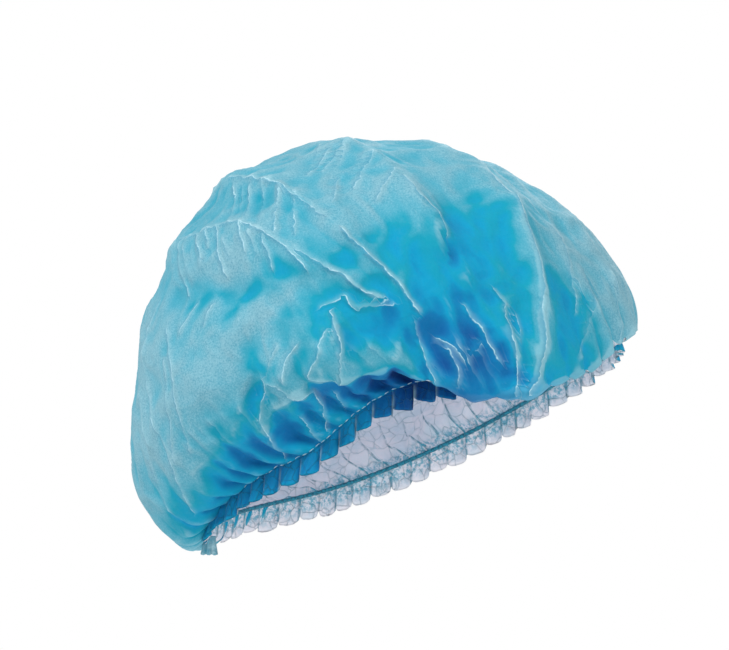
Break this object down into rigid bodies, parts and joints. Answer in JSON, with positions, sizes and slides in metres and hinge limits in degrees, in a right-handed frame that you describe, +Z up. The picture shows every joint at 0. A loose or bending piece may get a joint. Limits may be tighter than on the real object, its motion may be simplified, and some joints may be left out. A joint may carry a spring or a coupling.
{
  "type": "disposable hairnet",
  "caption": "Pleated non-woven hair cap with a full gathered crown, a frilled hem and an elastic loop round its tilted opening.",
  "frame": {"origin": "middle of the elastic loop, where the cap sits on a head", "axes": "+X towards the forehead, -X to the nape, +Y to the wearer's left, +Z up; the opening's plane is pitched 24 degrees, forehead side up"},
  "size_m": [0.2582, 0.2373, 0.2131],
  "materials": {
    "crown_cloth": "thin spunbond polypropylene non-woven, matt, a little see-through, paler and frosted along its folds",
    "hem_cloth": "the same non-woven turned double over the elastic, pleated and stitched",
    "elastic": "thread-covered elastic seen through the cloth, matt"
  },
  "bodies": {
    "root": {"crown": "crown_cloth", "hem_frill": "hem_cloth", "elastic_band": "elastic", "back_tab": "hem_cloth"}
  },
  "joints": []
}
